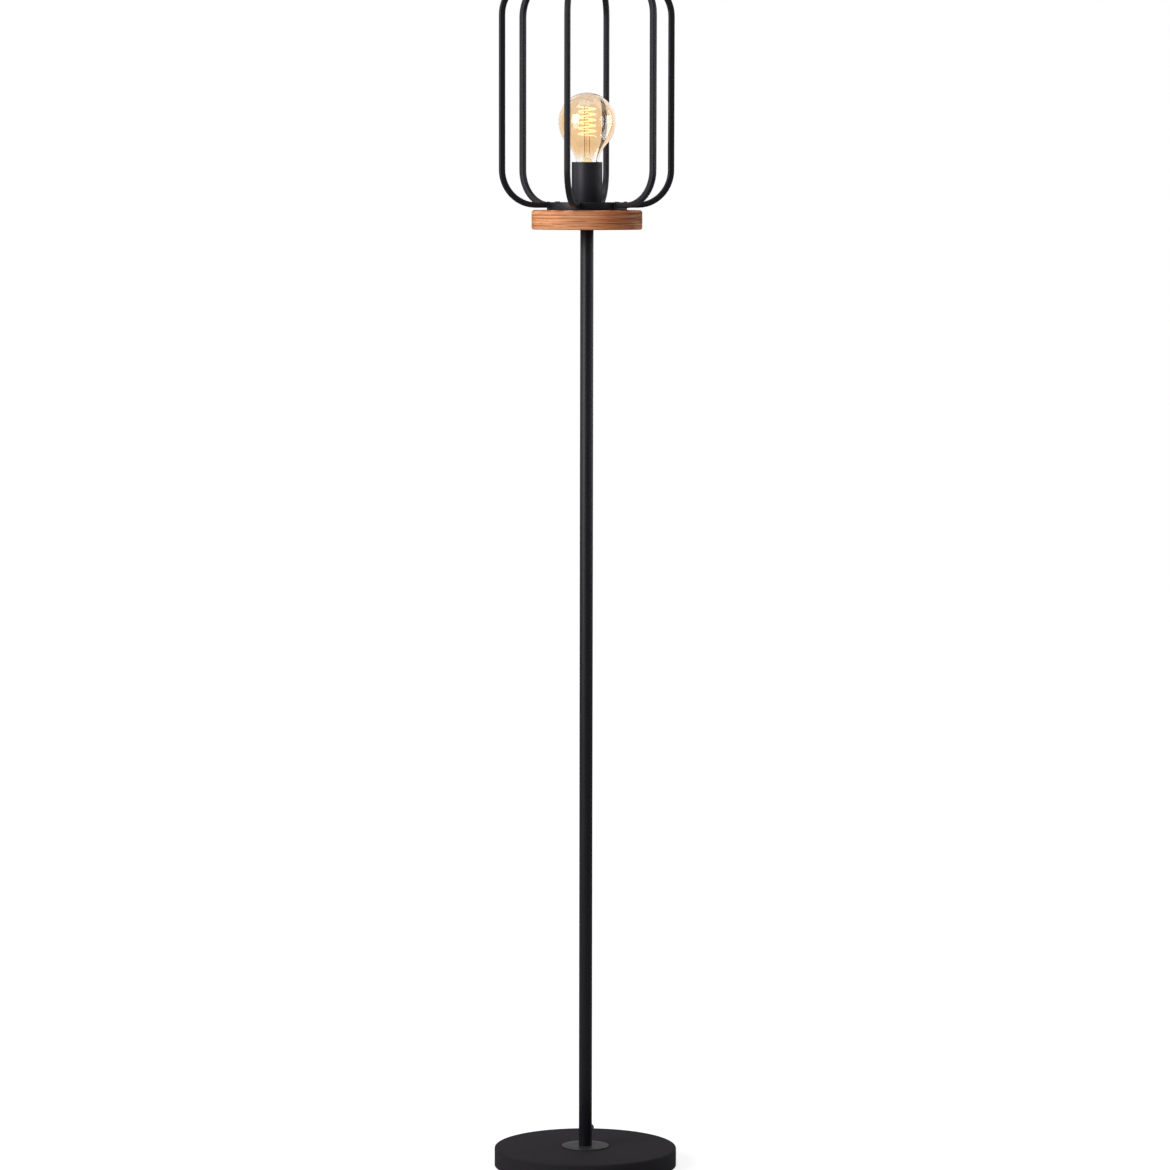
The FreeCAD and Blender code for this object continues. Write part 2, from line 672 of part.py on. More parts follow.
def build_bulb_cap():
    # screw cap: a plain ring with the rolled thread's valleys grooved round it
    inner = "Levels.cap_bore / 2"
    outer = "Sizes.cap_diameter / 2"
    body = turned("bulb_cap", "Levels.bulb_tip_level",
                  [(inner, "Sizes.cap_start"), (outer, "Sizes.cap_start"),
                   (outer, "Sizes.cap_top"), (inner, "Sizes.cap_top")])
    valley = new_sketch(body, "XZ_Plane", "Valley")
    middle = "Sizes.cap_start + Sizes.cap_thread_pitch"
    half = "Sizes.cap_thread_width / 2"
    outside = f"{outer} + Sizes.hole_clearance"
    draw_outline(valley, [(f"{outer} - Sizes.cap_thread_depth", middle),
                          (outside, f"{middle} - {half}"), (outside, f"{middle} + {half}")])
    base = body.Tip
    groove = body.newObject("PartDesign::Groove", "Valley")
    groove.Profile = valley
    groove.ReferenceAxis = (valley, ["V_Axis"])
    groove.Angle = 360
    doc.recompute()
    cuts.append((groove, base))
    pattern = body.newObject("PartDesign::LinearPattern", "Thread")
    pattern.Originals = [groove]
    pattern.Direction = (valley, ["V_Axis"])
    pattern.setExpression("Length", "Sizes.cap_thread_pitch * (Sizes.cap_thread_turns - 1)")
    pattern.setExpression("Occurrences", "Sizes.cap_thread_turns")
    body.Tip = pattern
    doc.recompute()
    cuts.append((pattern, groove))


def build_bulb_glass():
    # blown pear: globe, fuller shoulder, neck curve and straight neck, each tangent to the next
    body = new_body("bulb_glass", "Levels.bulb_tip_level")
    section = new_sketch(body, "XZ_Plane", "Section")
    centre_up = value("Levels.globe_centre")
    shoulder = Vector(value("Levels.shoulder_offset"), centre_up, 0)
    neck = Vector(value("Levels.neck_centre"), value("Levels.neck_top"), 0)
    lean = math.atan2(neck.y - shoulder.y, neck.x - shoulder.x)
    rim = value("Sizes.cap_top")
    for skin, less, more in ((0.0, "", ""),
                             (value("Sizes.glass_wall"), " - Sizes.glass_wall",
                              " + Sizes.glass_wall")):
        globe = section.addGeometry(Part.ArcOfCircle(
            Part.Circle(Vector(0, centre_up, 0), UP, value("Sizes.globe_radius") - skin),
            0, math.pi / 2))
        bulge = section.addGeometry(Part.ArcOfCircle(
            Part.Circle(shoulder, UP, value("Sizes.shoulder_radius") - skin), lean, 0))
        curve = section.addGeometry(Part.ArcOfCircle(
            Part.Circle(neck, UP, value("Sizes.neck_curve_radius") + skin),
            lean + math.pi, math.pi))
        across = value("Levels.neck_radius") - skin
        side = section.addGeometry(Part.LineSegment(Vector(across, neck.y, 0),
                                                    Vector(across, rim, 0)))
        section.addConstraint(Sketcher.Constraint("Tangent", globe, 1, bulge, 2))
        section.addConstraint(Sketcher.Constraint("Tangent", bulge, 1, curve, 1))
        section.addConstraint(Sketcher.Constraint("Tangent", curve, 2, side, 1))
        section.addConstraint(Sketcher.Constraint("Horizontal", globe, 3, bulge, 3))
        section.addConstraint(Sketcher.Constraint("Vertical", side))
        section.addConstraint(Sketcher.Constraint("PointOnObject", globe, 2, -2))
        bind(section, "Sizes.globe_radius" + less, "Radius", globe)
        bind(section, "Sizes.shoulder_radius" + less, "Radius", bulge)
        bind(section, "Sizes.neck_curve_radius" + more, "Radius", curve)
        place_point(section, globe, 3, "0", "Levels.globe_centre")
        place_point(section, side, 2, "Levels.neck_radius" + less, "Sizes.cap_top")
    outer_end = section.Geometry[3].EndPoint
    inner_end = section.Geometry[7].EndPoint
    lip = section.addGeometry(Part.LineSegment(outer_end, inner_end))
    crown = section.addGeometry(Part.LineSegment(section.Geometry[0].EndPoint,
                                                 section.Geometry[4].EndPoint))
    section.addConstraint(Sketcher.Constraint("Coincident", 3, 2, lip, 1))
    section.addConstraint(Sketcher.Constraint("Coincident", 7, 2, lip, 2))
    section.addConstraint(Sketcher.Constraint("Coincident", 0, 2, crown, 1))
    section.addConstraint(Sketcher.Constraint("Coincident", 4, 2, crown, 2))
    revolve(body, section)


def build_support_wires():
    # two bent wires from the press: one to the filament's foot, one to its head
    group = []
    press = value("Levels.bulb_tip_level + Sizes.cap_top + Sizes.stem_press_height")
    reach = value("Sizes.filament_radius - Sizes.filament_wire / 2 - Sizes.thread_clearance")
    offset = value("Sizes.support_offset")
    tip = value("Levels.bulb_tip_level")
    for index, (side, goal) in enumerate(((1, "Levels.filament_bottom"),
                                          (-1, "Levels.filament_top")), start=1):
        level = tip + value(goal)
        foot = Vector(side * offset, 0, press)
        upright = primitive("Cylinder", f"Upright{index}", foot, Radius="Sizes.support_wire / 2")
        upright.Height = level - press
        knee = primitive("Sphere", f"Knee{index}", Vector(side * offset, 0, level),
                         Radius="Sizes.support_wire / 2")
        arm = primitive("Cylinder", f"Arm{index}", Vector(side * offset, 0, level),
                        Rotation(Vector(0, 1, 0), 90 * side), Radius="Sizes.support_wire / 2")
        arm.Height = reach - offset
        elbow = boolean("Fuse", f"Elbow{index}", upright, knee)
        group.append(boolean("Fuse", f"SupportWire{index}", elbow, arm))
    wires = doc.addObject("Part::Compound", "bulb_wires")
    wires.Label = "bulb_wires"
    wires.Links = group
    pieces["bulb_wires"] = wires


def helix_point(radius, pitch, angle):
    return Vector(radius * math.cos(angle), radius * math.sin(angle), pitch * angle / (2 * math.pi))


def helix_tangent(radius, pitch, angle):
    rise = pitch / (2 * math.pi)
    return Vector(-radius * math.sin(angle), radius * math.cos(angle), rise).normalize()


def tangent_arc(start, corner, end):
    # the arc from start to end whose end tangents meet at the corner
    middle = (start + end) * 0.5
    half_chord = (end - start).Length / 2
    lift = (corner - middle).Length
    sag = half_chord * math.tan(math.atan2(lift, half_chord) / 2)
    return Part.Arc(start, middle + (corner - middle).normalize() * sag, end).toShape()


def helix_wire(radius, pitch, turns):
    # half a turn at a time, each as two arcs that run on smoothly
    edges = []
    for index in range(round(2 * turns)):
        near = math.pi * index
        far = near + math.pi
        start = helix_point(radius, pitch, near)
        end = helix_point(radius, pitch, far)
        out = helix_tangent(radius, pitch, near)
        into = helix_tangent(radius, pitch, far)
        chord = end - start
        both = out + into
        spread = 2 * (1 - out.dot(into))
        dot = chord.dot(both)
        reach = (-dot + math.sqrt(dot ** 2 + spread * chord.dot(chord))) / spread
        corner = start + out * reach
        last_corner = end - into * reach
        joint = (corner + last_corner) * 0.5
        edges.append(tangent_arc(start, corner, joint))
        edges.append(tangent_arc(joint, last_corner, end))
    return Part.Wire(edges)


def least_gap(wire, diameter, count=400):
    # smallest distance between points of the wire that are over half a turn apart
    points = wire.discretize(Number=count)
    apart = int(count / value("Sizes.filament_turns") / 2)
    nearest = min((points[i] - points[j]).Length for i in range(count)
                  for j in range(i + apart, count))
    return nearest - diameter


def build_filament():
    # glowing spiral: one unbroken tube on a helix about the glass rod
    radius = value("Sizes.filament_radius")
    turns = value("Sizes.filament_turns")
    pitch = value("Sizes.filament_height") / turns
    thickness = value("Sizes.filament_wire")
    path = helix_wire(radius, pitch, turns)
    circle = Part.Circle(helix_point(radius, pitch, 0), helix_tangent(radius, pitch, 0),
                         thickness / 2)
    shell = Part.BRepOffsetAPI.MakePipeShell(path)
    shell.add(Part.Wire(circle.toShape()))
    shell.build()
    shell.makeSolid()
    solid = shell.shape()
    filament = doc.addObject("Part::Feature", "bulb_filament")
    filament.Label = "bulb_filament"
    filament.Shape = solid
    bottom = value("Levels.bulb_tip_level + Levels.filament_bottom")
    filament.Placement = Placement(Vector(0, 0, bottom), Rotation())
    pieces["bulb_filament"] = filament
    expected = path.Length * math.pi * thickness ** 2 / 4
    print(f"filament: least gap to itself {least_gap(path, thickness):.2f} mm,"
          f" volume {solid.Volume:.1f} of {expected:.1f} mm3")


# the whole lamp

build_base_cover()
build_base_weight()
ring("underplate", "Levels.pad_top", "Levels.inner_diameter", "Sizes.nut_recess_diameter",
     "Sizes.underplate_thickness")
build_foot_pads()

ring("foot_washer", "Levels.foot_washer_bottom", "Sizes.washer_diameter",
     "Sizes.thread_diameter + 2 * Sizes.hole_clearance", "Sizes.washer_thickness")
build_lock_washer("foot_lock_washer", "Levels.foot_lock_bottom")
build_nut("foot_nut", "Levels.foot_nut_bottom")
ring("foot_nipple", "Levels.foot_nipple_bottom", "Sizes.thread_diameter", "Sizes.thread_bore",
     "Levels.pole_bottom + Sizes.thread_engagement - Levels.foot_nipple_bottom")

flange = ring("pole_flange", "Sizes.base_height", "Sizes.flange_diameter",
              "Sizes.thread_diameter + 2 * Sizes.hole_clearance", "Sizes.flange_thickness")
soften(flange, "Chamfer", "Sizes.flange_edge", "Sizes.flange_diameter / 2", "Sizes.flange_thickness")
build_pole()
for bush, bush_level in (("foot_bush", "Levels.pole_bottom"),
                         ("head_bush", "Levels.pole_top - Sizes.bush_length")):
    ring(bush, bush_level, "Levels.pole_bore - 2 * Sizes.thread_clearance",
         "Sizes.thread_diameter + 2 * Sizes.thread_clearance", "Sizes.bush_length")
build_gland()
build_inner_lead()

build_wood_disc()
ring("head_nipple", "Levels.pole_top - Sizes.thread_engagement", "Sizes.thread_diameter",
     "Sizes.thread_bore", "Levels.holder_floor - Levels.pole_top + Sizes.thread_engagement")
build_cage_pan()
for number in range(int(value("Sizes.bar_count"))):
    build_bar(f"cage_bar_{number + 1}",
              value("Sizes.bar_first_turn") + number * 360 / value("Sizes.bar_count"))

build_sleeve()
build_lock_washer("head_lock_washer", "Levels.head_lock_bottom")
build_nut("head_nut", "Levels.head_nut_bottom")
build_socket_base()
ring("socket_body", "Levels.holder_floor", "Levels.holder_diameter", "Levels.holder_bore",
     "Levels.holder_top - Levels.holder_floor")
ring("screw_shell", "Levels.holder_floor + Sizes.shell_start", "Levels.shell_diameter",
     "Levels.shell_diameter - 2 * Sizes.shell_wall",
     "Levels.holder_top - Levels.holder_floor - Sizes.shell_start - Sizes.holder_rim_drop")
build_centre_contact()
build_terminal_screws()

build_bulb_cap()
turned("bulb_insulator", "Levels.bulb_tip_level",
       [("0", "Sizes.insulator_start"),
        ("Sizes.insulator_foot_diameter / 2", "Sizes.insulator_start"),
        ("Levels.cap_bore / 2 - Sizes.thread_clearance", "Sizes.insulator_shoulder"),
        ("Levels.cap_bore / 2 - Sizes.thread_clearance", "Sizes.insulator_top"),
        ("0", "Sizes.insulator_top")])
bulb_tip = new_body("bulb_tip", "Levels.bulb_tip_level")
tip_face = new_sketch(bulb_tip, "XY_Plane", "Face")
draw_circle(tip_face, "Sizes.tip_diameter")
pad(bulb_tip, tip_face, "Sizes.insulator_start")
soften(bulb_tip, "Fillet", "Sizes.tip_round", "Sizes.tip_diameter / 2", "0")
build_bulb_glass()
turned("bulb_stem", "Levels.bulb_tip_level + Sizes.cap_top",
       [("0", "0"), ("Levels.neck_radius - Sizes.glass_wall - Sizes.loose_clearance", "0"),
        ("Sizes.stem_throat_radius", "Sizes.stem_flare_height"),
        ("Sizes.stem_press_radius", "Sizes.stem_press_height"),
        ("Sizes.stem_rod_radius", "Sizes.stem_press_height"),
        ("Sizes.stem_rod_radius", "Levels.filament_top - Sizes.cap_top - 2 * Sizes.support_wire"),
        ("0", "Levels.filament_top - Sizes.cap_top - 2 * Sizes.support_wire")])
build_support_wires()
build_filament()
doc.recompute()

# Every object must be sound, and every cut must have taken material away.
faults = [item.Name for item in doc.Objects if {"Invalid", "Error"} & set(item.State)]
for feature, base in cuts:
    if feature.Shape.Volume > base.Shape.Volume - SAME:
        faults.append(feature.Name + " cuts nothing")
for name, piece in pieces.items():
    if piece.Shape.isNull() or not piece.Shape.isValid():
        faults.append(name + " has no valid shape")
if faults:
    raise RuntimeError("; ".join(faults))

for name, piece in pieces.items():
    piece.Shape.exportStep(f"parts/{name}.step")
print(f"{len(pieces)} pieces written")
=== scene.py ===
import math

import bmesh
import bpy
from mathutils import Matrix, Vector


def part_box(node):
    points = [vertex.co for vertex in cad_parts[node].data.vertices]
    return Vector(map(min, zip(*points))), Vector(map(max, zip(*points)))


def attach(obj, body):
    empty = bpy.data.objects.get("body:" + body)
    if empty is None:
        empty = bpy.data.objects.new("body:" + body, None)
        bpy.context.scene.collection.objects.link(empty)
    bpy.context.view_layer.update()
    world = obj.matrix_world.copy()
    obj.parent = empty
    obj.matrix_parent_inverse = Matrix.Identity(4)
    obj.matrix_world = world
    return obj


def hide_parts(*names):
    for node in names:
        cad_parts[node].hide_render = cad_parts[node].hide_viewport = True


# wire cage floor lamp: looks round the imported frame, in metres, +Z up, seen along +Y

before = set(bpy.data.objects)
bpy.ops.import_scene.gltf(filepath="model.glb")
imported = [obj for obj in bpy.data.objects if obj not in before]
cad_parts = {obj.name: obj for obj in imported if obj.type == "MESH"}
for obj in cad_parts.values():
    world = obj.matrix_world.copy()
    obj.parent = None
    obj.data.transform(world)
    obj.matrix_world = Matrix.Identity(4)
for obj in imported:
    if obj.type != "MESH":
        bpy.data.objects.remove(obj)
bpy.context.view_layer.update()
print("frame loaded:", len(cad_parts), "nodes")

tubeHole = 0.0052        # radius of every hole that the threaded tube passes through
poleRadius = 0.0072


# node helpers

def newMaterial(name):
    material = bpy.data.materials.new(name)
    material.use_nodes = True
    shader = material.node_tree.nodes["Principled BSDF"]
    return material, material.node_tree, shader


def addNode(tree, kind, **settings):
    node = tree.nodes.new("ShaderNode" + kind)
    for key, setting in settings.items():
        setattr(node, key, setting)
    return node


def objectNoise(tree, scale, detail=4.0, stretch=(1, 1, 1), roughness=0.5):
    # noise on the piece's own place, stretched along its axes
    place = addNode(tree, "TexCoord")
    mapping = addNode(tree, "Mapping")
    mapping.inputs["Scale"].default_value = stretch
    noise = addNode(tree, "TexNoise")
    noise.inputs["Scale"].default_value = scale
    noise.inputs["Detail"].default_value = detail
    noise.inputs["Roughness"].default_value = roughness
    tree.links.new(place.outputs["Object"], mapping.inputs["Vector"])
    tree.links.new(mapping.outputs["Vector"], noise.inputs["Vector"])
    return noise


def addRamp(tree, source, stops):
    ramp = addNode(tree, "ValToRGB")
    elements = ramp.color_ramp.elements
    while len(elements) < len(stops):
        elements.new(0.5)
    for element, (position, colour) in zip(elements, stops):
        element.position = position
        element.color = (*colour, 1)
    tree.links.new(source, ramp.inputs["Fac"])
    return ramp


def addRange(tree, source, low, high):
    spread = addNode(tree, "MapRange")
    spread.inputs["To Min"].default_value = low
    spread.inputs["To Max"].default_value = high
    tree.links.new(source, spread.inputs["Value"])
    return spread


def addBump(tree, shader, height, strength, distance):
    bump = addNode(tree, "Bump")
    bump.inputs["Strength"].default_value = strength
    bump.inputs["Distance"].default_value = distance
    tree.links.new(height, bump.inputs["Height"])
    tree.links.new(bump.outputs["Normal"], shader.inputs["Normal"])


# finishes

def coatedMetal(name, colour, roughness, grain, bumpStrength, specular=0.5):
    # powder coat: tiny pebbles, and a slow drift in shade and sheen
    material, tree, shader = newMaterial(name)
    pebbles = objectNoise(tree, grain, 3.0)
    drift = objectNoise(tree, 22.0, 3.0)
    shadeDrift, sheenDrift, grainDepth = 0.14, 0.05, 0.0004
    dark = tuple((1 - shadeDrift) * part for part in colour)
    light = tuple((1 + shadeDrift) * part for part in colour)
    shade = addRamp(tree, drift.outputs["Fac"], ((0.3, dark), (0.7, light)))
    sheen = addRange(tree, drift.outputs["Fac"], roughness - sheenDrift, roughness + sheenDrift)
    tree.links.new(shade.outputs["Color"], shader.inputs["Base Color"])
    tree.links.new(sheen.outputs["Result"], shader.inputs["Roughness"])
    shader.inputs["Specular IOR Level"].default_value = specular
    addBump(tree, shader, pebbles.outputs["Fac"], bumpStrength, grainDepth)
    return material


def grainNoise(tree, flatness, scale, detail, along, across, roughness):
    # streaks that run level round the rim, and along X on the flat faces
    rimTurn = 1.7        # a little finer along Y, so the streaks don't look mirrored
    rim = objectNoise(tree, scale, detail, (along, rimTurn * along, across), roughness)
    flat = objectNoise(tree, scale, detail, (along, across / 2, across / 2), roughness)
    blend = addNode(tree, "Mix")
    tree.links.new(flatness, blend.inputs["Factor"])
    tree.links.new(rim.outputs["Fac"], blend.inputs["A"])
    tree.links.new(flat.outputs["Fac"], blend.inputs["B"])
    return blend.outputs["Result"]


def stainedWood():
    # broad bands, dark growth lines, fine pores, and painted shade: a darker, redder stretch on the +X
    # side of the disc that fades out again towards the rim
    finish = {"pale": (0.69, 0.322, 0.160), "mid": (0.50, 0.202, 0.085), "deep": (0.25, 0.072, 0.026),
              "line": (0.48, 0.36, 0.30), "pore": (0.60, 0.49, 0.43), "paintedShade": (0.88, 0.70, 0.60),
              "plain": (1, 1, 1), "rimSlope": 0.4, "flatSlope": 0.85, "halfWidth": 0.06,
              "specular": 0.12, "bump": 0.3, "poreDepth": 0.0004}
    plain = finish["plain"]
    material, tree, shader = newMaterial("stained wood")
    place = addNode(tree, "TexCoord")
    turned = addNode(tree, "SeparateXYZ")
    upright = addNode(tree, "Math", operation="ABSOLUTE")
    flatness = addRange(tree, upright.outputs["Value"], 0.0, 1.0)
    flatness.inputs["From Min"].default_value = finish["rimSlope"]
    flatness.inputs["From Max"].default_value = finish["flatSlope"]
    tree.links.new(place.outputs["Normal"], turned.inputs["Vector"])
    tree.links.new(turned.outputs["Z"], upright.inputs[0])
    bands = grainNoise(tree, flatness.outputs["Result"], 9.0, 5.0, 0.8, 46.0, 0.62)
    pores = grainNoise(tree, flatness.outputs["Result"], 60.0, 3.0, 0.45, 18.0, 0.6)
    lines = grainNoise(tree, flatness.outputs["Result"], 14.0, 2.0, 0.5, 42.0, 0.4)
    tone = addRamp(tree, bands, ((0.36, finish["deep"]), (0.47, finish["mid"]), (0.58, finish["pale"])))
    streak = addRamp(tree, lines, ((0.38, finish["line"]), (0.43, plain)))
    pore = addRamp(tree, pores, ((0.36, finish["pore"]), (0.48, plain)))
    # painted shade: a darker, redder band along the +X side, full from about 24 to 41 mm off the middle
    # and plain again by 60 mm
    across = addNode(tree, "SeparateXYZ")
    spread = addRange(tree, across.outputs["X"], 0.0, 1.0)
    spread.inputs["From Min"].default_value = -finish["halfWidth"]
    spread.inputs["From Max"].default_value = finish["halfWidth"]
    tree.links.new(place.outputs["Object"], across.inputs["Vector"])
    paintedShade = addRamp(tree, spread.outputs["Result"], ((0.50, plain), (0.70, finish["paintedShade"]),
                                                     (0.84, finish["paintedShade"]), (1.0, plain)))
    colour = tone.outputs["Color"]
    for layer in (streak, pore, paintedShade):
        mix = addNode(tree, "Mix", data_type="RGBA", blend_type="MULTIPLY")
        mix.inputs["Factor"].default_value = 1
        tree.links.new(colour, mix.inputs["A"])
        tree.links.new(layer.outputs["Color"], mix.inputs["B"])
        colour = mix.outputs["Result"]
    tree.links.new(colour, shader.inputs["Base Color"])
    sheen = addRange(tree, bands, 0.62, 0.48)
    tree.links.new(sheen.outputs["Result"], shader.inputs["Roughness"])
    shader.inputs["Specular IOR Level"].default_value = finish["specular"]
    addBump(tree, shader, pores, finish["bump"], finish["poreDepth"])
    return material


def brightMetal(name, colour, roughness, scratches=(1, 1, 30)):
    # bare or plated metal with fine turning marks, stretched as scratches says
    material, tree, shader = newMaterial(name)
    marks = {"scale": 300.0, "shade": 0.86, "smoother": 0.06, "rougher": 0.08, "bump": 0.08,
             "depth": 0.0002}
    lines = objectNoise(tree, marks["scale"], 3.0, scratches)
    dark = tuple(marks["shade"] * part for part in colour)
    shade = addRamp(tree, lines.outputs["Fac"], ((0.35, dark), (0.65, colour)))
    sheen = addRange(tree, lines.outputs["Fac"], roughness - marks["smoother"],
                     roughness + marks["rougher"])
    tree.links.new(shade.outputs["Color"], shader.inputs["Base Color"])
    tree.links.new(sheen.outputs["Result"], shader.inputs["Roughness"])
    shader.inputs["Metallic"].default_value = 1
    addBump(tree, shader, lines.outputs["Fac"], marks["bump"], marks["depth"])
    return material


def mouldedPlastic(name, colour, roughness):
    # plastic or rubber with a fine moulded grain
    material, tree, shader = newMaterial(name)
    grain = objectNoise(tree, 900.0, 2.0)
    shadeDrift, bumpStrength, grainDepth = 0.12, 0.15, 0.0002
    dark = tuple((1 - shadeDrift) * part for part in colour)
    light = tuple((1 + shadeDrift) * part for part in colour)
    shade = addRamp(tree, grain.outputs["Fac"], ((0.3, dark), (0.7, light)))
    tree.links.new(shade.outputs["Color"], shader.inputs["Base Color"])
    shader.inputs["Roughness"].default_value = roughness
    addBump(tree, shader, grain.outputs["Fac"], bumpStrength, grainDepth)
    return material


def amberGlass(neckHeight, crownHeight):
    # clear at the neck, deep amber round the belly and paler at the crown
    finish = {"clear": (1.0, 1.0, 1.0), "amber": (0.935, 0.755, 0.545), "crown": (0.905, 0.79, 0.67),
              "clearEnd": 0.07, "amberStart": 0.21, "amberEnd": 0.60}
    material, tree, shader = newMaterial("amber glass")
    place = addNode(tree, "TexCoord")
    split = addNode(tree, "SeparateXYZ")
    tree.links.new(place.outputs["Object"], split.inputs["Vector"])
    height = addNode(tree, "MapRange")
    height.inputs["From Min"].default_value = neckHeight
    height.inputs["From Max"].default_value = crownHeight
    tree.links.new(split.outputs["Z"], height.inputs["Value"])
    tint = addRamp(tree, height.outputs["Result"],
                   ((finish["clearEnd"], finish["clear"]), (finish["amberStart"], finish["amber"]),
                    (finish["amberEnd"], finish["amber"]), (1.0, finish["crown"])))
    tree.links.new(tint.outputs["Color"], shader.inputs["Base Color"])
    shader.inputs["Transmission Weight"].default_value = 1
    shader.inputs["Roughness"].default_value = 0.0
    shader.inputs["IOR"].default_value = 1.45
    return material


def clearGlass():
    # the stem's thin glass: a low index keeps it faint, with a slight ripple
    finish = {"tint": (1.0, 0.92, 0.70, 1), "roughness": 0.02, "index": 1.14, "bump": 0.05,
              "depth": 0.0005}
    material, tree, shader = newMaterial("clear glass")
    ripple = objectNoise(tree, 120.0, 2.0)
    shader.inputs["Base Color"].default_value = finish["tint"]
    shader.inputs["Transmission Weight"].default_value = 1
    shader.inputs["Roughness"].default_value = finish["roughness"]
    shader.inputs["IOR"].default_value = finish["index"]
    addBump(tree, shader, ripple.outputs["Fac"], finish["bump"], finish["depth"])
    return material


def glowingFilament():
    # lit spiral: bright yellow, a little uneven along its length
    finish = {"bright": (1.0, 0.95, 0.72), "warm": (0.92, 0.79, 0.52), "unlit": (1.0, 0.78, 0.36, 1),
              "strength": 1.0}
    material, tree, shader = newMaterial("glowing filament")
    uneven = objectNoise(tree, 420.0, 2.0)
    glow = addRamp(tree, uneven.outputs["Fac"], ((0.36, finish["warm"]), (0.56, finish["bright"])))
    shader.inputs["Base Color"].default_value = finish["unlit"]
    shader.inputs["Roughness"].default_value = 0.5
    tree.links.new(glow.outputs["Color"], shader.inputs["Emission Color"])
    shader.inputs["Emission Strength"].default_value = finish["strength"]
    return material


texturedBlack = coatedMetal("textured black", (0.0135, 0.0115, 0.0140), 0.74, 1400.0, 0.55, 0.14)
satinBlack = coatedMetal("satin black", (0.0068, 0.0064, 0.0092), 0.42, 420.0, 0.04, 0.22)
flangeBlack = coatedMetal("satin black flange", (0.020, 0.019, 0.021), 0.40, 420.0, 0.04, 0.33)
sleeveBlack = coatedMetal("satin black sleeve", (0.0135, 0.0128, 0.0178), 0.44, 420.0, 0.04, 0.20)
woodFinish = stainedWood()
zincSteel = brightMetal("zinc steel", (0.62, 0.62, 0.60), 0.34)
plainBrass = brightMetal("plain brass", (0.80, 0.60, 0.28), 0.3)
capMetal = brightMetal("cap metal", (0.80, 0.76, 0.68), 0.26)
castIron = coatedMetal("cast iron", (0.16, 0.155, 0.15), 0.8, 260.0, 0.8)
blackPlastic = mouldedPlastic("black plastic", (0.022, 0.022, 0.023), 0.5)
padRubber = mouldedPlastic("pad rubber", (0.03, 0.03, 0.03), 0.8)
fibreBoard = mouldedPlastic("fibre board", (0.035, 0.033, 0.031), 0.9)
clearFinish = clearGlass()
glowFinish = glowingFilament()
supportWire = brightMetal("support wire", (0.30, 0.24, 0.17), 0.38)
leadSheath = mouldedPlastic("lead sheath", (0.016, 0.016, 0.017), 0.42)
softSolder = brightMetal("soft solder", (0.55, 0.55, 0.56), 0.45, (1, 1, 1))
capGlass = mouldedPlastic("cap insulator", (0.012, 0.011, 0.015), 0.15)
print("finishes made")


# mesh helpers

def finishPiece(name, mesh, body, node, material, sharpAngle=35):
    # the bmesh becomes a piece that rides on a body and stands for a node
    data = bpy.data.meshes.new(name)
    mesh.to_mesh(data)
    mesh.free()
    data.materials.append(material)
    data.shade_smooth()
    data.set_sharp_from_angle(angle=math.radians(sharpAngle))
    piece = bpy.data.objects.new(name, data)
    bpy.context.scene.collection.objects.link(piece)
    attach(piece, body)
    if node:
        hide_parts(node)
    return piece


def arcPoints(centre, radius, startAngle, endAngle, steps):
    # points on an arc of a section, angles in degrees from the outward direction
    points = []
    for index in range(steps + 1):
        angle = math.radians(startAngle + (endAngle - startAngle) * index / steps)
        points.append((centre[0] + radius * math.cos(angle), centre[1] + radius * math.sin(angle)))
    return points


def spinSection(points, steps=96, closed=True):
    # a section of (radius, height) points turned full circle about the pole's axis
    mesh = bmesh.new()
    verts = [mesh.verts.new((radius, 0, height)) for radius, height in points]
    for first, second in zip(verts, verts[1:]):
        mesh.edges.new((first, second))
    if closed:
        mesh.edges.new((verts[-1], verts[0]))
    bmesh.ops.spin(mesh, geom=mesh.verts[:] + mesh.edges[:], cent=(0, 0, 0), axis=(0, 0, 1),
                   angle=2 * math.pi, steps=steps, use_merge=True)
    bmesh.ops.remove_doubles(mesh, verts=mesh.verts[:], dist=1e-6)
    bmesh.ops.dissolve_degenerate(mesh, edges=mesh.edges[:], dist=1e-7)
    bmesh.ops.recalc_face_normals(mesh, faces=mesh.faces[:])
    return mesh


def softenEdges(mesh, width, segments=2, angle=40):
    sharp = [edge for edge in mesh.edges
             if len(edge.link_faces) == 2 and edge.calc_face_angle() > math.radians(angle)]
    if sharp:
        bmesh.ops.bevel(mesh, geom=sharp, offset=width, segments=segments, profile=0.5,
                        affect="EDGES", material=-1, clamp_overlap=True)


def boxOf(node):
    low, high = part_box(node)
    return low, high, (high.y - low.y) / 2


# foot

def buildFoot():
    foot = {"rim": 0.0020, "wall": 0.0012, "discEdge": 0.00035, "plateEdge": 0.00025, "nutHole": 0.020}
    low, high, radius = boxOf("base_cover")
    inner = radius - foot["wall"]
    section = [(radius, low.z)]
    section += arcPoints((radius - foot["rim"], high.z - foot["rim"]), foot["rim"], 0, 90, 6)
    section += [(tubeHole, high.z), (tubeHole, high.z - foot["wall"]),
                (inner - foot["rim"] / 2, high.z - foot["wall"]),
                (inner, high.z - foot["wall"] - foot["rim"] / 2), (inner, low.z)]
    mesh = spinSection(section, 160)
    finishPiece("footCover", mesh, "root", "base_cover", texturedBlack)

    low, high, radius = boxOf("pole_flange")
    mesh = spinSection([(tubeHole, low.z), (radius, low.z), (radius, high.z), (tubeHole, high.z)], 96)
    softenEdges(mesh, foot["discEdge"], 3)
    finishPiece("footDisc", mesh, "root", "pole_flange", flangeBlack)

    low, high, radius = boxOf("underplate")
    hole = foot["nutHole"]
    mesh = spinSection([(hole, low.z), (radius, low.z), (radius, high.z), (hole, high.z)], 96)
    softenEdges(mesh, foot["plateEdge"])
    finishPiece("footUnderplate", mesh, "root", "underplate", fibreBoard)


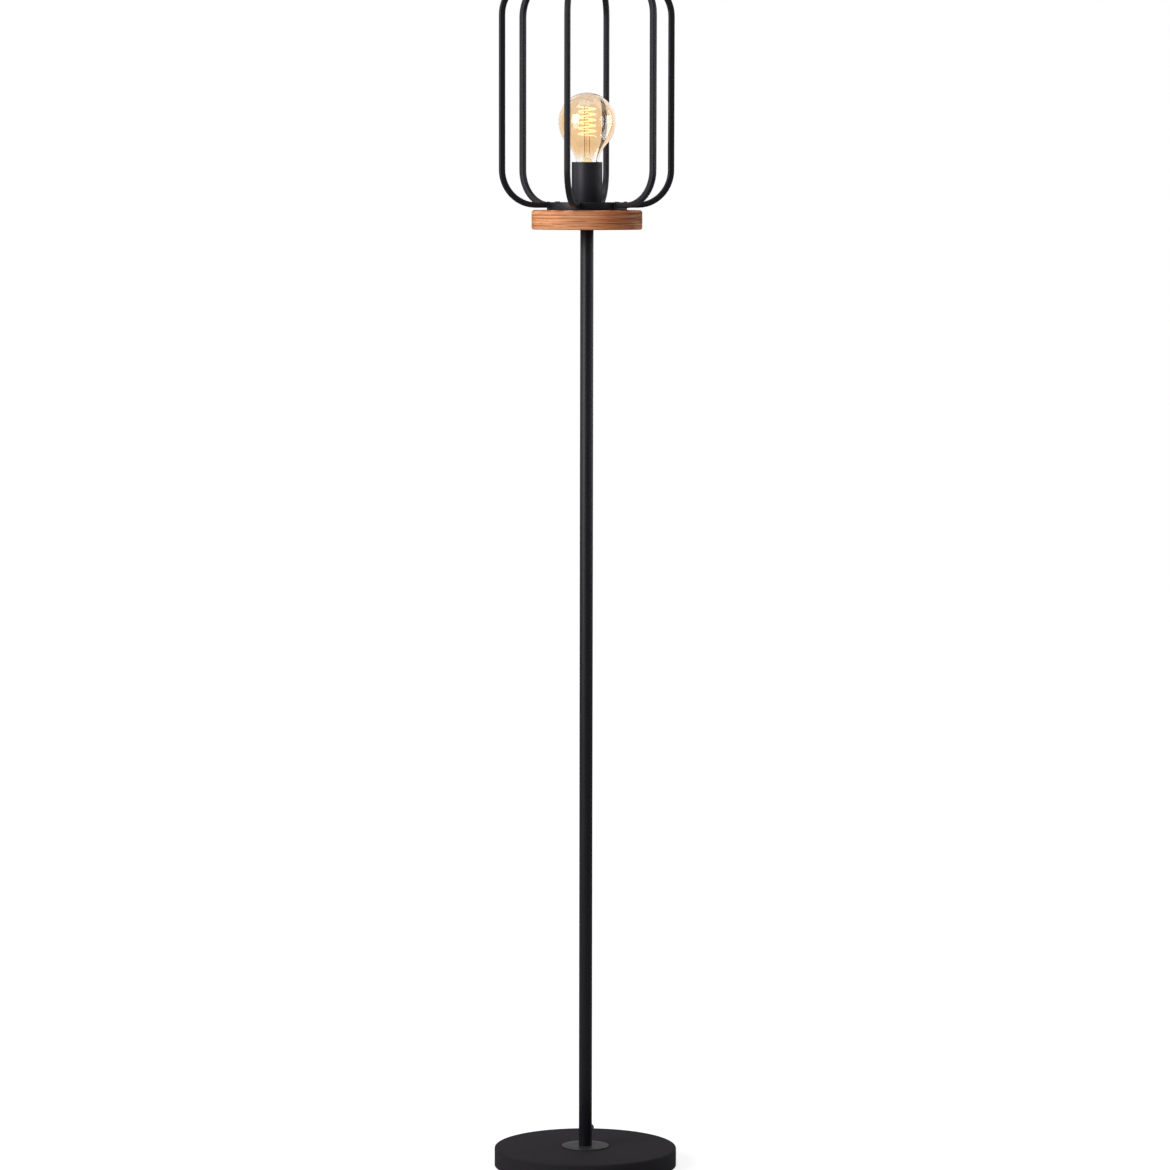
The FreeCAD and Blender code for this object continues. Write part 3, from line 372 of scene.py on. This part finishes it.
def buildPads():
    pads = {"count": 5, "circle": 0.084, "radius": 0.007, "taper": 0.94, "edge": 0.0006}
    low, high, _ = boxOf("foot_pads")
    mesh = bmesh.new()
    for index in range(pads["count"]):
        angle = 2 * math.pi * index / pads["count"]
        place = Matrix.Translation((pads["circle"] * math.cos(angle),
                                    pads["circle"] * math.sin(angle), (low.z + high.z) / 2))
        bmesh.ops.create_cone(mesh, cap_ends=True, segments=40, radius1=pads["radius"],
                              radius2=pads["radius"] * pads["taper"], depth=high.z - low.z, matrix=place)
    softenEdges(mesh, pads["edge"])
    finishPiece("footPads", mesh, "root", "foot_pads", padRubber)


# pole and gland

def buildPole():
    pole = {"wall": 0.001, "edge": 0.0003}
    low, high, _ = boxOf("pole")
    inner = poleRadius - pole["wall"]
    mesh = spinSection([(inner, low.z), (poleRadius, low.z), (poleRadius, high.z), (inner, high.z)], 64)
    softenEdges(mesh, pole["edge"])
    finishPiece("poleTube", mesh, "root", "pole", satinBlack)


def buildGland():
    gland = {"turn": math.radians(70), "radius": 0.0048, "bore": 0.0027, "reach": 0.0192,
             "nose": 0.0050, "noseTaper": 0.0009, "height": 0.039, "collar": 0.0024,
             "groove": 0.0007, "sink": 0.0016, "edge": 0.0003}
    start = poleRadius - gland["sink"]
    collarEnd = poleRadius + gland["collar"]
    shoulder = gland["reach"] - gland["nose"]
    body = gland["radius"] - gland["groove"]
    mesh = spinSection([(gland["bore"], start), (gland["radius"], start),
                        (gland["radius"], collarEnd), (body, collarEnd + gland["groove"]),
                        (body, shoulder), (body - gland["noseTaper"], gland["reach"]),
                        (gland["bore"], gland["reach"])], 48)
    softenEdges(mesh, gland["edge"])
    aim = Matrix.Translation((0, 0, gland["height"])) @ Matrix.Rotation(gland["turn"], 4, "Z")
    aim = aim @ Matrix.Rotation(math.radians(90), 4, "Y")
    bmesh.ops.transform(mesh, matrix=aim, verts=mesh.verts[:])
    finishPiece("cordGland", mesh, "root", "cable_gland", blackPlastic)


# wooden disc and cage

def buildDisc():
    disc = {"topRound": 0.0028, "bottomRound": 0.0020}
    low, high, radius = boxOf("wood_disc")
    section = [(tubeHole, low.z)]
    section += arcPoints((radius - disc["bottomRound"], low.z + disc["bottomRound"]),
                         disc["bottomRound"], -90, 0, 6)
    section += arcPoints((radius - disc["topRound"], high.z - disc["topRound"]),
                         disc["topRound"], 0, 90, 8)
    section += [(tubeHole, high.z)]
    mesh = spinSection(section, 160)
    finishPiece("woodDisc", mesh, "root", "wood_disc", woodFinish)


def buildPan():
    pan = {"wall": 0.0015, "edge": 0.00045}
    low, high, radius = boxOf("cage_pan")
    inner = radius - pan["wall"]
    mesh = spinSection([(inner, low.z), (radius, low.z), (radius, high.z), (tubeHole, high.z),
                        (tubeHole, high.z - pan["wall"]), (inner, high.z - pan["wall"])], 128)
    softenEdges(mesh, pan["edge"], 3)
    finishPiece("cagePan", mesh, "root", "cage_pan", satinBlack)


cage = {"size": 0.006, "corner": 0.001, "bend": 0.038, "outer": 0.0988, "panRadius": 0.0435,
        "firstTurn": 17.3, "count": 6, "weld": 0.0013}


def buildBar(number):
    low, high, _ = boxOf("cage_bar_1")
    reach = cage["outer"] - cage["size"] / 2
    bottom = low.z + cage["size"] / 2
    top = high.z - cage["size"] / 2
    inside = reach - cage["bend"]
    mesh = bmesh.new()
    upright = Matrix.Translation((cage["panRadius"], 0, bottom)) @ Matrix.Rotation(
        math.radians(90), 4, "Y")
    bmesh.ops.create_grid(mesh, x_segments=1, y_segments=1, size=cage["size"] / 2, matrix=upright)
    bmesh.ops.bevel(mesh, geom=mesh.verts[:], offset=cage["corner"], segments=4, profile=0.5,
                    affect="VERTICES", material=-1)
    front = mesh.faces[:]

    def pushTo(front, shift):
        # carry the end face along a straight run
        made = bmesh.ops.extrude_face_region(mesh, geom=front)["geom"]
        verts = [item for item in made if isinstance(item, bmesh.types.BMVert)]
        bmesh.ops.translate(mesh, verts=verts, vec=shift)
        return [item for item in made if isinstance(item, bmesh.types.BMFace)]

    def bendAt(front, centre):
        # carry the end face round a quarter bend
        made = bmesh.ops.spin(mesh, geom=front, cent=centre, axis=(0, -1, 0),
                              angle=math.pi / 2, steps=14)["geom_last"]
        return [item for item in made if isinstance(item, bmesh.types.BMFace)]

    front = pushTo(front, (inside - cage["panRadius"], 0, 0))
    front = bendAt(front, (inside, 0, bottom + cage["bend"]))
    front = pushTo(front, (0, 0, top - bottom - 2 * cage["bend"]))
    front = bendAt(front, (inside, 0, top - cage["bend"]))
    pushTo(front, (-inside - cage["size"], 0, 0))
    bmesh.ops.remove_doubles(mesh, verts=mesh.verts[:], dist=1e-6)
    halfSector = math.pi / cage["count"]
    for side in (1, -1):        # mitre the end to its sixth of the star
        normal = Vector((-math.sin(halfSector), side * math.cos(halfSector), 0))
        cut = bmesh.ops.bisect_plane(mesh, geom=mesh.verts[:] + mesh.edges[:] + mesh.faces[:],
                                     plane_co=(0, 0, 0), plane_no=normal, clear_outer=True)
        rim = [item for item in cut["geom_cut"] if isinstance(item, bmesh.types.BMEdge)]
        bmesh.ops.contextual_create(mesh, geom=rim)
    bmesh.ops.recalc_face_normals(mesh, faces=mesh.faces[:])
    turn = math.radians(cage["firstTurn"] + 360 * number / cage["count"])
    bmesh.ops.rotate(mesh, verts=mesh.verts[:], cent=(0, 0, 0), matrix=Matrix.Rotation(turn, 3, "Z"))
    finishPiece(f"cageBar{number + 1}", mesh, "root", f"cage_bar_{number + 1}",
                satinBlack)


def buildWelds():
    # a low bead round each bar where it meets the pan
    bead = {"top": (-0.0028, -0.0014, 0.0, 0.0014, 0.0028), "sides": (-0.002, -0.0004, 0.0012),
            "unevenness": 0.18, "length": 0.0011, "flatness": 0.8, "outset": 0.0003, "sag": 0.0002}
    low, _, _ = boxOf("cage_bar_1")
    mesh = bmesh.new()
    for number in range(cage["count"]):
        turn = math.radians(cage["firstTurn"] + 360 * number / cage["count"])
        half = cage["size"] / 2
        centre = low.z + half
        spots = [(across, half) for across in bead["top"]]
        spots += [(across, up) for across in (-half, half) for up in bead["sides"]]
        for index, (across, up) in enumerate(spots):
            grow = 1 + bead["unevenness"] * math.sin(2.1 * index + number)
            place = Matrix.Rotation(turn, 4, "Z") @ Matrix.Translation(
                (cage["panRadius"] + bead["outset"], across, centre + up - bead["sag"]))
            place = place @ Matrix.Diagonal((cage["weld"] * grow, bead["length"],
                                             cage["weld"] * bead["flatness"], 1))
            bmesh.ops.create_icosphere(mesh, subdivisions=2, radius=1.0, matrix=place)
    finishPiece("cageWelds", mesh, "root", None, satinBlack)


# lampholder

def buildHolder():
    holder = {"radius": 0.0166, "wall": 0.0008, "floor": 0.001, "edge": 0.0003,
              "bodyInner": 0.0141, "bodyEdge": 0.0004, "shellWall": 0.0004}
    low, high, _ = boxOf("socket_sleeve")
    radius = holder["radius"]
    inner = radius - holder["wall"]
    mesh = spinSection([(tubeHole, low.z), (radius, low.z), (radius, high.z),
                        (inner, high.z), (inner, low.z + holder["floor"]),
                        (tubeHole, low.z + holder["floor"])], 96)
    softenEdges(mesh, holder["edge"])
    finishPiece("holderSleeve", mesh, "root", "socket_sleeve", sleeveBlack)

    low, high, radius = boxOf("socket_body")
    inner = holder["bodyInner"]
    mesh = spinSection([(inner, low.z), (radius, low.z), (radius, high.z), (inner, high.z)], 96)
    softenEdges(mesh, holder["bodyEdge"])
    finishPiece("holderBody", mesh, "root", "socket_body", blackPlastic)

    low, high, radius = boxOf("screw_shell")
    inner = radius - holder["shellWall"]
    mesh = spinSection([(inner, low.z), (radius, low.z), (radius, high.z), (inner, high.z)], 96)
    finishPiece("screwShell", mesh, "root", "screw_shell", plainBrass)


# bulb

bulb = {"globe": 0.031, "shoulder": 0.036, "neck": 0.0123, "neckCurve": 0.0336, "wall": 0.0009,
        "straight": 0.001, "steps": 128}


def glassSection(skin):
    # crown to rim: globe, shoulder and neck arcs that run on smoothly
    low, _, _ = boxOf("bulb_glass")
    neckTop = low.z + bulb["straight"]
    shoulderAcross = bulb["globe"] - bulb["shoulder"]
    neckAcross = bulb["neck"] + bulb["neckCurve"]
    span = bulb["shoulder"] + bulb["neckCurve"]
    drop = math.sqrt(span ** 2 - (neckAcross - shoulderAcross) ** 2)
    centre = neckTop + drop
    lean = math.degrees(math.atan2(-drop, neckAcross - shoulderAcross))
    points = [(0.0, centre + bulb["globe"] - skin)]
    points += arcPoints((0, centre), bulb["globe"] - skin, 88, 0, 30)
    points += arcPoints((shoulderAcross, centre), bulb["shoulder"] - skin, 0, lean, 14)[1:]
    points += arcPoints((neckAcross, neckTop), bulb["neckCurve"] + skin, 180 + lean, 180, 14)[1:]
    points += [(bulb["neck"] - skin, low.z)]
    return points


def buildGlass():
    section = glassSection(0) + glassSection(bulb["wall"])[::-1]
    mesh = spinSection(section, bulb["steps"], closed=False)
    low, high, _ = boxOf("bulb_glass")
    return finishPiece("bulbGlass", mesh, "bulb", "bulb_glass",
                       amberGlass(low.z, high.z), 60)


def buildCap():
    thread = {"radius": 0.0131, "inner": 0.0115, "pitch": 0.00363, "depth": 0.0007, "turns": 4,
              "lead": 0.45, "steps": 96, "rows": 56}
    low, high, _ = boxOf("bulb_cap")
    section = [(thread["inner"], low.z)]
    first = low.z + thread["pitch"] * thread["lead"]
    last = first + thread["pitch"] * thread["turns"]
    for index in range(thread["rows"] + 1):        # rolled thread: a smooth wave down the cap
        height = low.z + (high.z - low.z) * index / thread["rows"]
        wave = 0.0
        if first < height < last:
            wave = 0.5 - 0.5 * math.cos(2 * math.pi * (height - first) / thread["pitch"])
        section.append((thread["radius"] - thread["depth"] * wave, height))
    section.append((thread["inner"], high.z))
    mesh = spinSection(section, thread["steps"])
    finishPiece("bulbCap", mesh, "bulb", "bulb_cap", capMetal, 60)


def buildStem():
    # a thin flare pressed flat at its top, with a rod up the middle
    stem = {"flare": 0.0111, "waist": 0.0062, "waistHeight": 0.00405, "throat": 0.0040,
            "throatHeight": 0.009, "press": 0.0032, "pressTop": 0.0024, "pressHeight": 0.0146,
            "rod": 0.0012, "rodTip": 0.00072, "round": 0.0006, "wall": 0.0007}
    low, high, _ = boxOf("bulb_stem")
    waistLevel = low.z + stem["waistHeight"]
    throatLevel = low.z + stem["throatHeight"]
    pressLevel = low.z + stem["pressHeight"]
    section = [(0, throatLevel + stem["wall"]),
               (stem["throat"] - stem["wall"], throatLevel - stem["wall"]),
               (stem["waist"] - stem["wall"], waistLevel),
               (stem["flare"] - stem["wall"], low.z), (stem["flare"], low.z)]
    section += [(stem["waist"], waistLevel), (stem["throat"], throatLevel),
                (stem["press"], pressLevel - stem["round"]), (stem["pressTop"], pressLevel),
                (stem["rod"], pressLevel + stem["round"]), (stem["rod"], high.z - stem["round"]),
                (stem["rodTip"], high.z), (0, high.z)]
    mesh = spinSection(section, 48, closed=False)
    finishPiece("bulbStem", mesh, "bulb", "bulb_stem", clearFinish, 50)


def buildFilament():
    # one round wire wound on a helix, swept from a curve and made a mesh
    coil = {"radius": 0.0092, "turns": 5.5, "wire": 0.0008, "stepsPerTurn": 40}
    low, high, _ = boxOf("bulb_filament")
    bottom = low.z + coil["wire"]
    top = high.z - coil["wire"]
    count = int(coil["turns"] * coil["stepsPerTurn"])
    curve = bpy.data.curves.new("bulbFilament", "CURVE")
    curve.dimensions = "3D"
    curve.bevel_depth = coil["wire"]
    curve.bevel_resolution = 4
    curve.use_fill_caps = True
    line = curve.splines.new("POLY")
    line.points.add(count)
    for index, point in enumerate(line.points):
        angle = 2 * math.pi * index / coil["stepsPerTurn"]
        height = bottom + (top - bottom) * index / count
        point.co = (coil["radius"] * math.cos(angle), coil["radius"] * math.sin(angle), height, 1)
    draft = bpy.data.objects.new("filamentDraft", curve)
    bpy.context.scene.collection.objects.link(draft)
    bpy.context.view_layer.update()
    data = bpy.data.meshes.new_from_object(draft)
    bpy.data.objects.remove(draft)
    mesh = bmesh.new()
    mesh.from_mesh(data)
    bmesh.ops.remove_doubles(mesh, verts=mesh.verts[:], dist=1e-6)
    bmesh.ops.recalc_face_normals(mesh, faces=mesh.faces[:])
    finishPiece("bulbFilament", mesh, "bulb", "bulb_filament", glowFinish, 60)


buildFoot()
buildPads()
buildPole()
buildGland()
print("foot and pole made")
buildDisc()
buildPan()
for barNumber in range(cage["count"]):
    buildBar(barNumber)
buildWelds()
buildHolder()
print("head made")
glassPiece = buildGlass()
buildCap()
buildStem()
buildFilament()
print("bulb made")

# pieces that stay as the frame has them get their finishes
keptFinishes = {
    "base_weight": castIron, "foot_washer": zincSteel, "foot_lock_washer": zincSteel,
    "foot_nut": zincSteel, "foot_nipple": zincSteel, "foot_bush": zincSteel,
    "head_bush": zincSteel, "head_nipple": zincSteel, "head_lock_washer": zincSteel,
    "head_nut": zincSteel, "terminal_screws": zincSteel, "inner_lead": leadSheath,
    "socket_base": blackPlastic, "centre_contact": plainBrass, "bulb_insulator": capGlass,
    "bulb_tip": softSolder, "bulb_wires": supportWire}
for node, material in keptFinishes.items():
    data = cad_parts[node].data
    data.materials.clear()
    data.materials.append(material)


# floor, light and camera

def buildFloor():
    # white to the camera out to the horizon, and it still takes the lamp's shadow
    floor = {"half": 30.0, "colour": (0.45, 0.45, 0.45, 1), "lift": 0.74, "farLift": 0.96,
             "near": 0.8, "far": 3.0, "drop": -0.0002}
    mesh = bmesh.new()
    bmesh.ops.create_grid(mesh, x_segments=1, y_segments=1, size=floor["half"],
                          matrix=Matrix.Translation((0, 0, floor["drop"])))
    data = bpy.data.meshes.new("floor")
    mesh.to_mesh(data)
    mesh.free()
    material = bpy.data.materials.new("pale floor")
    material.use_nodes = True
    tree = material.node_tree
    tree.nodes.clear()
    matte = addNode(tree, "BsdfDiffuse")
    matte.inputs["Color"].default_value = floor["colour"]
    lift = addNode(tree, "Emission")
    rays = addNode(tree, "LightPath")
    seen = addNode(tree, "Math", operation="ADD", use_clamp=True)
    place = addNode(tree, "TexCoord")
    reach = addNode(tree, "VectorMath", operation="LENGTH")
    spread = addRange(tree, reach.outputs["Value"], floor["lift"], floor["farLift"])
    spread.inputs["From Min"].default_value = floor["near"]
    spread.inputs["From Max"].default_value = floor["far"]
    strength = addNode(tree, "Math", operation="MULTIPLY")
    both = addNode(tree, "AddShader")
    side = addNode(tree, "NewGeometry")
    clear = addNode(tree, "BsdfTransparent")
    upper = addNode(tree, "MixShader")        # clear from below, to show the lamp's underside
    output = addNode(tree, "OutputMaterial")
    tree.links.new(rays.outputs["Is Camera Ray"], seen.inputs[0])
    tree.links.new(rays.outputs["Is Transmission Ray"], seen.inputs[1])
    tree.links.new(place.outputs["Object"], reach.inputs[0])
    tree.links.new(seen.outputs["Value"], strength.inputs[0])
    tree.links.new(spread.outputs["Result"], strength.inputs[1])
    tree.links.new(strength.outputs["Value"], lift.inputs["Strength"])
    tree.links.new(matte.outputs["BSDF"], both.inputs[0])
    tree.links.new(lift.outputs["Emission"], both.inputs[1])
    tree.links.new(side.outputs["Backfacing"], upper.inputs["Fac"])
    tree.links.new(both.outputs["Shader"], upper.inputs[1])
    tree.links.new(clear.outputs["BSDF"], upper.inputs[2])
    tree.links.new(upper.outputs["Shader"], output.inputs["Surface"])
    data.materials.append(material)
    piece = bpy.data.objects.new("floor", data)
    bpy.context.scene.collection.objects.link(piece)


def buildWorld():
    # white behind the lamp; a soft grey room for the light
    room = {"grey": 0.10, "gloss": 0.30}
    world = bpy.data.worlds.new("studio")
    bpy.context.scene.world = world
    world.use_nodes = True
    tree = world.node_tree
    tree.nodes.clear()
    rays = addNode(tree, "LightPath")
    seen = addNode(tree, "Math", operation="ADD", use_clamp=True)
    gloss = addNode(tree, "Math", operation="MULTIPLY")
    gloss.inputs[1].default_value = room["gloss"]
    total = addNode(tree, "Math", operation="MAXIMUM")
    spread = addRange(tree, total.outputs["Value"], room["grey"], 1.0)
    back = addNode(tree, "Background")
    back.inputs["Color"].default_value = (1, 1, 1, 1)
    output = addNode(tree, "OutputWorld")
    tree.links.new(rays.outputs["Is Camera Ray"], seen.inputs[0])
    tree.links.new(rays.outputs["Is Transmission Ray"], seen.inputs[1])
    tree.links.new(rays.outputs["Is Glossy Ray"], gloss.inputs[0])
    tree.links.new(seen.outputs["Value"], total.inputs[0])
    tree.links.new(gloss.outputs["Value"], total.inputs[1])
    tree.links.new(spread.outputs["Result"], back.inputs["Strength"])
    tree.links.new(back.outputs["Background"], output.inputs["Surface"])


def addSoftbox(name, place, aim, width, height, power):
    light = bpy.data.lights.new(name, "AREA")
    light.shape = "RECTANGLE"
    light.size = width
    light.size_y = height
    light.energy = power
    lamp = bpy.data.objects.new(name, light)
    lamp.location = place
    lamp.rotation_euler = (Vector(aim) - Vector(place)).to_track_quat("-Z", "Y").to_euler()
    lamp.visible_camera = False
    lamp.visible_transmission = False        # the bulb shows white behind it from every side
    bpy.context.scene.collection.objects.link(lamp)
    return lamp


def addGlassPanel(name, azimuth, elevation, spread, level, colour=(1, 1, 1)):
    # a panel that only the bulb's glass reflects: angles seen from the globe, 0 is the lamp's front
    reach = 1.5        # metres from the globe
    _, high, _ = boxOf("bulb_glass")
    centre = Vector((0, 0, high.z - bulb["globe"]))
    side, up = math.radians(azimuth), math.radians(elevation)
    toPanel = Vector((math.sin(side) * math.cos(up), -math.cos(side) * math.cos(up), math.sin(up)))
    width, height = (2 * reach * math.tan(math.radians(part / 2)) for part in spread)
    lamp = addSoftbox(name, centre + reach * toPanel, centre, width, height,
                      level * math.pi * width * height)
    lamp.data.color = colour
    lamp.light_linking.receiver_collection = glassOnly


def buildCamera():
    # looks slightly down, a little above the wooden disc, as the photograph does
    view = {"distance": 5.10, "height": 1.085, "tilt": 4.967, "roll": -0.1, "lens": 144.43,
            "sensor": 36.0, "framePixels": 1170, "axisPixel": 587.0}
    data = bpy.data.cameras.new("camera")
    data.sensor_width = view["sensor"]
    data.lens = view["lens"]
    data.shift_x = 0.5 - view["axisPixel"] / view["framePixels"]
    camera = bpy.data.objects.new("camera", data)
    camera.location = (0, -view["distance"], view["height"])
    camera.rotation_euler = (math.radians(90 - view["tilt"]), math.radians(view["roll"]), 0)
    bpy.context.scene.collection.objects.link(camera)
    bpy.context.scene.camera = camera


buildFloor()
buildWorld()
addSoftbox("keySoftbox", (-2.5, -2.1, 1.7), (0, 0, 0.95), 1.9, 1.9, 106)
addSoftbox("leftSoftbox", (-3.0, 0.3, 1.7), (0, 0, 1.0), 1.2, 2.0, 20)
addSoftbox("topSoftbox", (-0.4, -0.6, 3.2), (0, 0, 0.4), 1.6, 1.6, 30)
addSoftbox("rimSoftbox", (2.6, 1.4, 1.6), (0, 0, 1.0), 0.7, 1.8, 17)
addSoftbox("sideSoftbox", (2.9, -0.1, 1.4), (0, 0, 1.15), 0.8, 1.2, 8)
addSoftbox("frontSoftbox", (2.3, -1.6, 1.4), (0, 0, 1.15), 0.45, 0.45, 4)
glassOnly = bpy.data.collections.new("glassOnly")
glassOnly.objects.link(glassPiece)
addGlassPanel("leftPanel", -46, 3, (26, 50), 9)
addGlassPanel("rightPanel", 62, 0, (20, 34), 8)
addGlassPanel("bluePanel", 97, -14, (36, 60), 8, (0.78, 0.88, 1.0))
addGlassPanel("upperPanel", 95, 52, (34, 42), 2.4, (1.0, 0.80, 0.66))
addGlassPanel("farLeftPanel", -145, 0, (42, 90), 1.1)
addGlassPanel("farRightPanel", 145, 0, (42, 90), 1.1)
buildCamera()
bpy.context.scene.view_settings.view_transform = "Standard"
print("stage, light and camera made")
